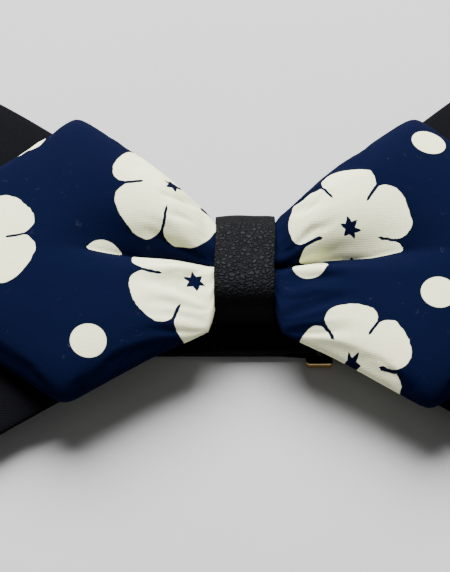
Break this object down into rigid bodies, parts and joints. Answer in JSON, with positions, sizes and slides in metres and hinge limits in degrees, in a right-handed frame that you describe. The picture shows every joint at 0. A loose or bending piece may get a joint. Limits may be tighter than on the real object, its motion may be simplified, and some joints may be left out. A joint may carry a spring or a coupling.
{
  "type": "bow tie",
  "caption": "Pre-tied double bow tie: a printed pointed bow over a plain one, pinched by a leather knot band, on a folded neck strap with a hook, ring and slide.",
  "frame": {"origin": "on the surface that the tie lies on, under the middle of its outline", "axes": "+X along the bow to the wearer's left wing, +Y up the bow, +Z out of its front"},
  "size_m": [0.1608, 0.0715, 0.013],
  "materials": {
    "printed_cotton": "matte woven cotton, navy with an ivory blossom and dot print",
    "black_cotton": "matte woven cotton",
    "interlining": "non-woven",
    "ribbon": "ribbed woven ribbon",
    "thread": "spun sewing thread",
    "leather": "pebbled, semi-gloss",
    "gold_metal": "polished gold-tone plating"
  },
  "bodies": {
    "bow": {"upper_bow_front": "printed_cotton", "upper_bow_interlining": "interlining", "upper_bow_back": "printed_cotton", "upper_bow_thread": "thread", "under_bow_front": "black_cotton", "under_bow_interlining": "interlining", "under_bow_back": "black_cotton", "under_bow_thread": "thread", "knot_band": "leather", "knot_band_stitches": "thread", "strap_behind_bow": "ribbon", "strap_left_fold": "ribbon", "strap_right_fold": "ribbon"},
    "left_strap": {"strap_left_run": "ribbon", "strap_tail": "ribbon"},
    "slide": {"strap_slide": "gold_metal", "slide_wrap": "ribbon", "slide_wrap_stitches": "thread"},
    "hook": {"hook": "gold_metal"},
    "right_strap": {"strap_right_run": "ribbon", "strap_right_stitches": "thread"},
    "ring": {"ring": "gold_metal"}
  },
  "joints": [
    {"name": "left_strap_fold", "type": "hinge", "parent": "bow", "child": "left_strap", "pos_m": [-0.079, -0.0049, 0.00198], "axis": [0, 1, 0], "range_deg": [0, 180], "deforming": ["strap_left_fold"]},
    {"name": "right_strap_fold", "type": "hinge", "parent": "bow", "child": "right_strap", "pos_m": [0.079, -0.0049, 0.00198], "axis": [0, -1, 0], "range_deg": [0, 180], "deforming": ["strap_right_fold"]},
    {"name": "slide_along_strap", "type": "slide", "parent": "left_strap", "child": "slide", "axis": [1, 0, 0], "range_m": [0, 0.045], "deforming": ["strap_tail"]},
    {"name": "hook_swing", "type": "hinge", "parent": "left_strap", "child": "hook", "pos_m": [0.0105, -0.0049, 0.00115], "axis": [0, 1, 0], "range_deg": [0, 110]},
    {"name": "ring_swing", "type": "hinge", "parent": "right_strap", "child": "ring", "pos_m": [0.0394, -0.0049, 0.00115], "axis": [0, -1, 0], "range_deg": [0, 110]}
  ]
}
